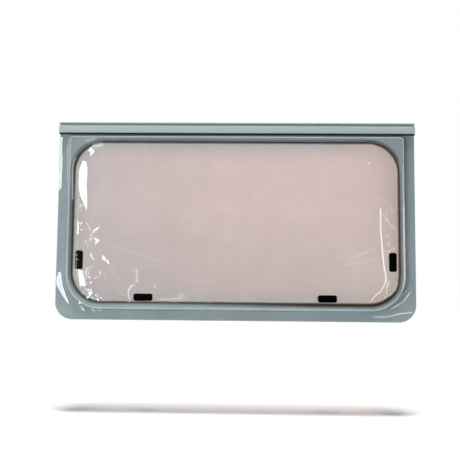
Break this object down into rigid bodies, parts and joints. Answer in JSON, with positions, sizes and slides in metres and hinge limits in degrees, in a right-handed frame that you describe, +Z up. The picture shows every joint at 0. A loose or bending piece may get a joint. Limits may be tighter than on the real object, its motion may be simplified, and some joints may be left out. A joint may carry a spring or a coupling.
{
  "type": "caravan window",
  "caption": "Top-hung caravan window: bulged double-skin tinted acrylic panes in a grey border, with a hinge rail along the top and black turn latches inside.",
  "frame": {"origin": "on the back face of the border's top flange, behind the middle of the hinge rail's band", "axes": "+X along the rail, to the right seen from outside; +Y into the caravan, square to the wall; +Z up"},
  "size_m": [0.9, 0.0543, 0.5],
  "materials": {
    "rail": "satin",
    "rubber": "matte",
    "border": "satin",
    "sealant": "matte",
    "pane": "gloss",
    "latch": "satin",
    "screw": "satin"
  },
  "bodies": {
    "window": {"hinge_rail": "rail", "rail_gasket": "rubber", "outer_frame": "border", "pane_seal": "sealant", "outer_pane": "pane", "bond_strip": "sealant", "inner_pane": "pane", "latch_base_bottom_left": "latch", "latch_screw_bottom_left": "screw", "latch_base_bottom_right": "latch", "latch_screw_bottom_right": "screw", "latch_base_left": "latch", "latch_screw_left": "screw", "latch_base_right": "latch", "latch_screw_right": "screw"},
    "lever_bottom_left": {"latch_lever_bottom_left": "latch"},
    "lever_bottom_right": {"latch_lever_bottom_right": "latch"},
    "lever_left": {"latch_lever_left": "latch"},
    "lever_right": {"latch_lever_right": "latch"}
  },
  "joints": [
    {"name": "turn_bottom_left", "type": "hinge", "parent": "window", "child": "lever_bottom_left", "pos_m": [-0.2465, 0.022, -0.425], "axis": [0, 1, 0], "range_deg": [0, 90]},
    {"name": "turn_bottom_right", "type": "hinge", "parent": "window", "child": "lever_bottom_right", "pos_m": [0.2465, 0.022, -0.425], "axis": [0, -1, 0], "range_deg": [0, 90]},
    {"name": "turn_left", "type": "hinge", "parent": "window", "child": "lever_left", "pos_m": [-0.3992, 0.022, -0.3182], "axis": [0, 1, 0], "range_deg": [0, 90]},
    {"name": "turn_right", "type": "hinge", "parent": "window", "child": "lever_right", "pos_m": [0.3992, 0.022, -0.3182], "axis": [0, -1, 0], "range_deg": [0, 90]}
  ]
}
